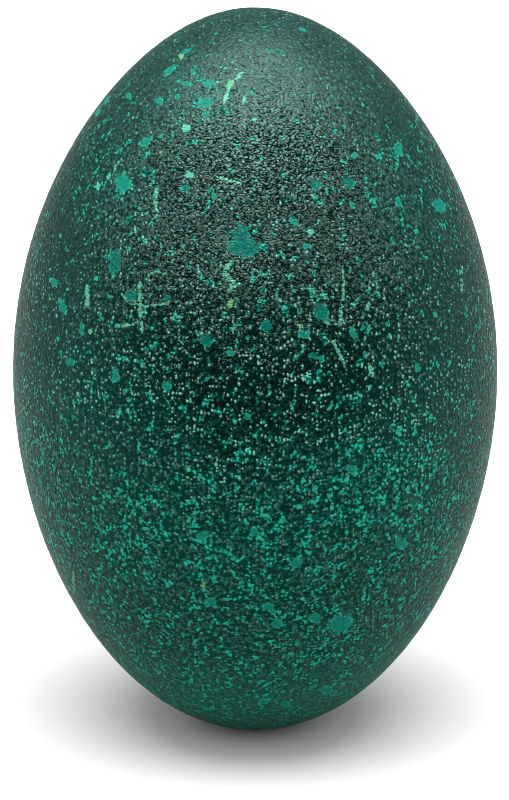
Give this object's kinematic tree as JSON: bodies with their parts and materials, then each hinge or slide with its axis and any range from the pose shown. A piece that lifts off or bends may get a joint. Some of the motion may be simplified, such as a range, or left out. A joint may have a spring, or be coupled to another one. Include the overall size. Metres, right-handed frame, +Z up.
{
  "type": "emu egg",
  "caption": "Whole emu egg, dark green with paler teal speckles over a finely granulated shell, standing upright on a small flat spot at its blunter end.",
  "frame": {"origin": "middle of the flat spot at the blunter end, on the surface that the egg stands on", "axes": "+Z up along the egg's long axis, towards the more pointed end; -Y towards the side that the picture shows; +X to the right as that side is seen"},
  "size_m": [0.088, 0.088, 0.1343],
  "materials": {
    "eggshell": "finely granulated dark green eggshell with a soft satin sheen, flecked with paler teal"
  },
  "bodies": {
    "root": {"egg": "eggshell"}
  },
  "joints": []
}
